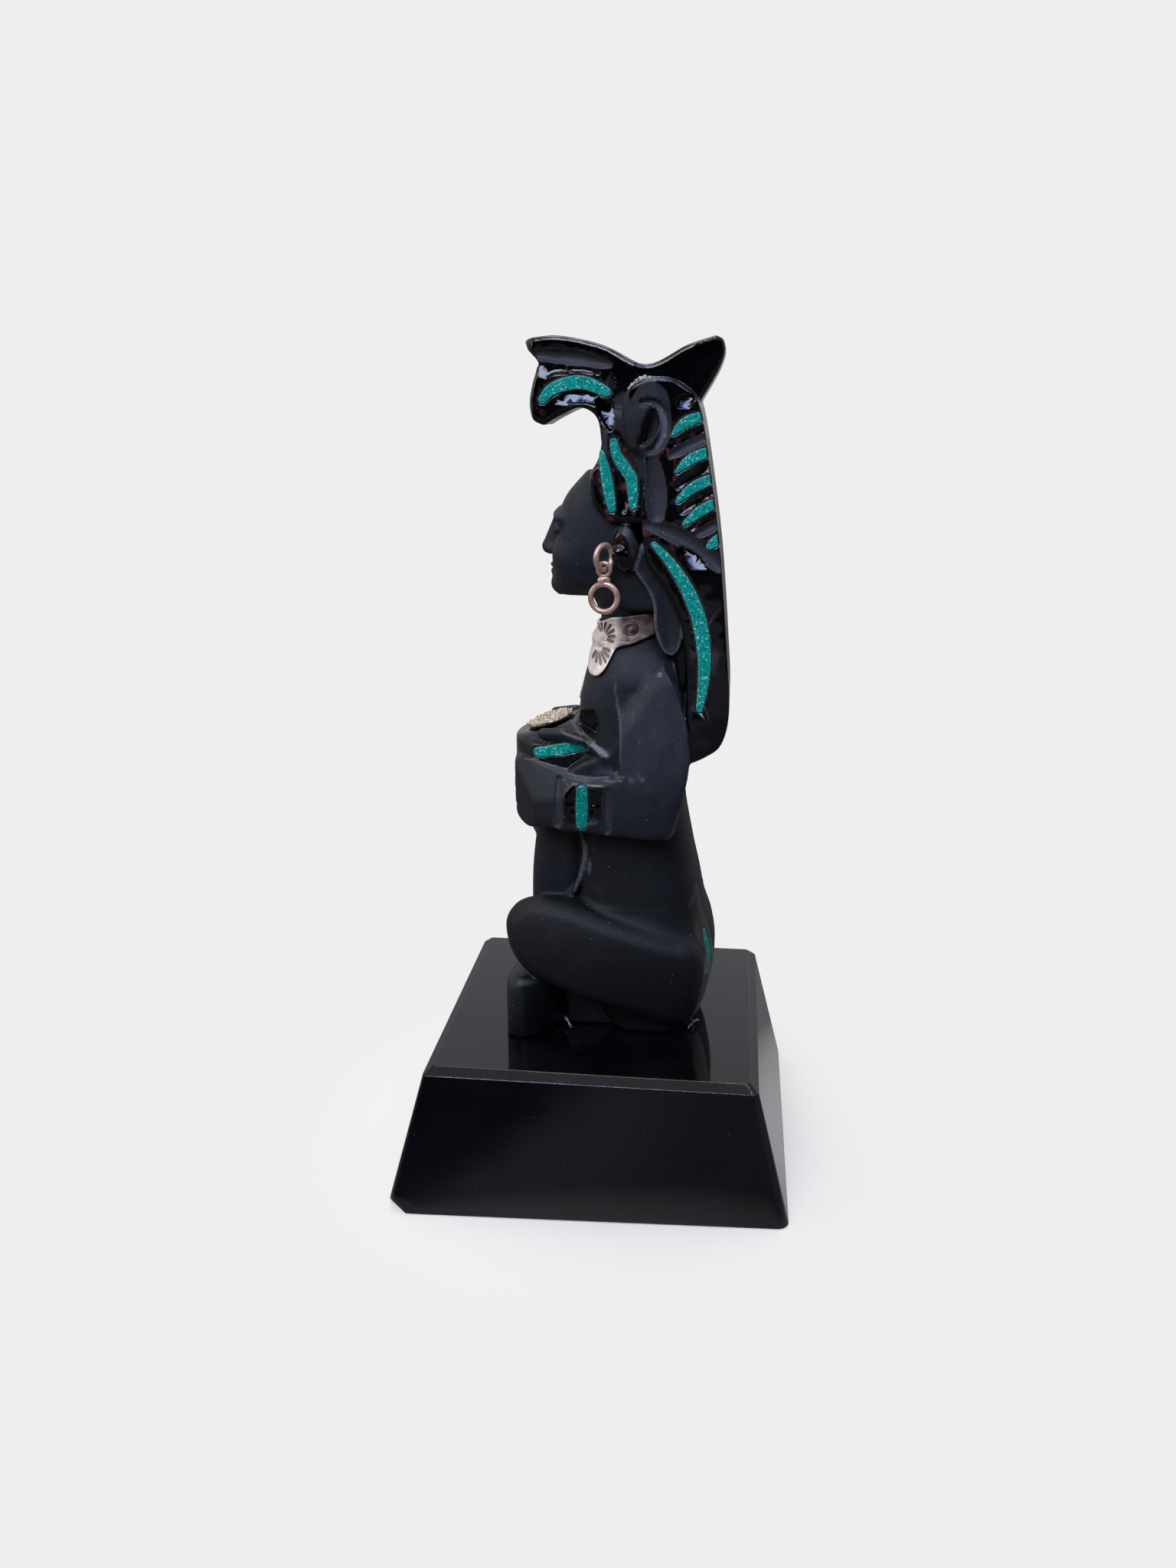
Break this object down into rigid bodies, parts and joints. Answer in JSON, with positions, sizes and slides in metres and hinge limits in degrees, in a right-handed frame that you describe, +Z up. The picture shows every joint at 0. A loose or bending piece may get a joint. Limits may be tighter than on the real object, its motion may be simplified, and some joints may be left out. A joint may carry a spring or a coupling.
{
  "type": "aztec god statuette",
  "caption": "Seated cross-legged figure in a tall feathered headdress, holding a vessel, carved in black stone with green inlays, on a square tapered plinth.",
  "frame": {"origin": "middle of the plinth's underside, which rests on the table", "axes": "+Z up, the figure faces -Y, and its own left side is +X"},
  "size_m": [0.0726, 0.0726, 0.151],
  "materials": {
    "obsidian": "volcanic glass, polished on the plinth and bands and left matt elsewhere",
    "malachite": "crushed stone set in resin, ground flush",
    "nickel_silver": "stamped sheet, dulled in the recesses",
    "rose_gold": "plated wire",
    "gilt": "granular gilt metal"
  },
  "bodies": {
    "root": {"beak_inlay_left": "malachite", "beak_inlay_right": "malachite", "collar": "nickel_silver", "ear_drop_left": "rose_gold", "ear_drop_right": "rose_gold", "ear_link_left": "rose_gold", "ear_link_right": "rose_gold", "fan_inlay_left": "malachite", "fan_inlay_right": "malachite", "feather_inlay_1_left": "malachite", "feather_inlay_1_right": "malachite", "feather_inlay_2_left": "malachite", "feather_inlay_2_right": "malachite", "feather_inlay_3_left": "malachite", "feather_inlay_3_right": "malachite", "feather_inlay_4_left": "malachite", "feather_inlay_4_right": "malachite", "feather_inlay_5_left": "malachite", "feather_inlay_5_right": "malachite", "figure": "obsidian", "hip_inlay_left": "malachite", "hip_inlay_right": "malachite", "plinth": "obsidian", "plume_inlay_front_left": "malachite", "plume_inlay_front_right": "malachite", "plume_inlay_rear_left": "malachite", "plume_inlay_rear_right": "malachite", "vessel_inlay_left": "malachite", "vessel_inlay_right": "malachite", "vessel_ornament": "gilt", "wrist_inlay_left": "malachite", "wrist_inlay_right": "malachite"}
  },
  "joints": []
}
